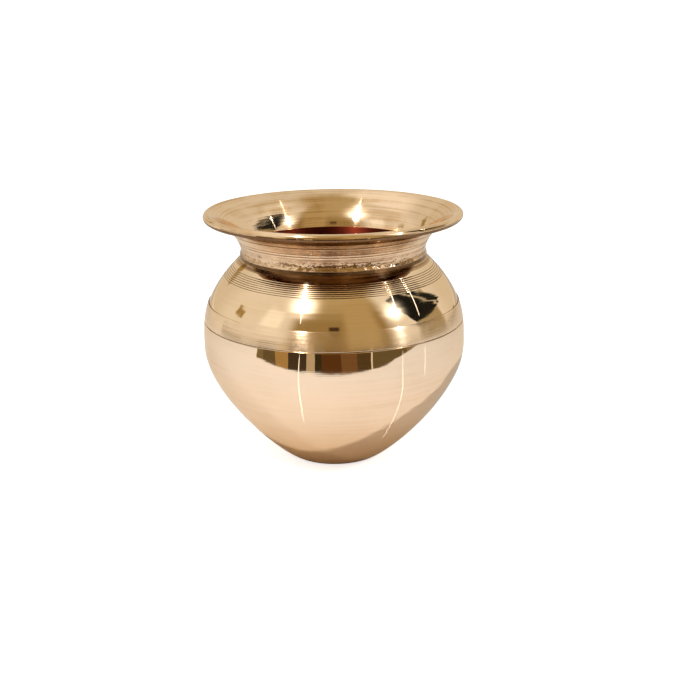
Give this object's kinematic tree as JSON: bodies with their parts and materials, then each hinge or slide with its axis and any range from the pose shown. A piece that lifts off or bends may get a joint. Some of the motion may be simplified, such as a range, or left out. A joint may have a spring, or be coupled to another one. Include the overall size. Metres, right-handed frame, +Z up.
{
  "type": "kalash pot",
  "caption": "Spun brass kalash water pot with a round belly, banded lap joint, waisted neck and wide flared mouth with a rolled rim.",
  "frame": {"origin": "centre of the standing ring, in the plane that the pot stands on", "axes": "+Z up along the pot's axis of turning; +X and +Y are level, and the pot is round, so their direction is free"},
  "size_m": [0.1, 0.1, 0.0957],
  "materials": {
    "polished_brass": "polished",
    "satin_brass": "satin",
    "iron_wire": "drawn",
    "braze": "as brazed"
  },
  "bodies": {
    "root": {"lower_bowl": "polished_brass", "shoulder": "polished_brass", "neck_collar": "satin_brass", "rim_wire": "iron_wire", "belly_braze": "braze", "neck_braze": "braze"}
  },
  "joints": []
}
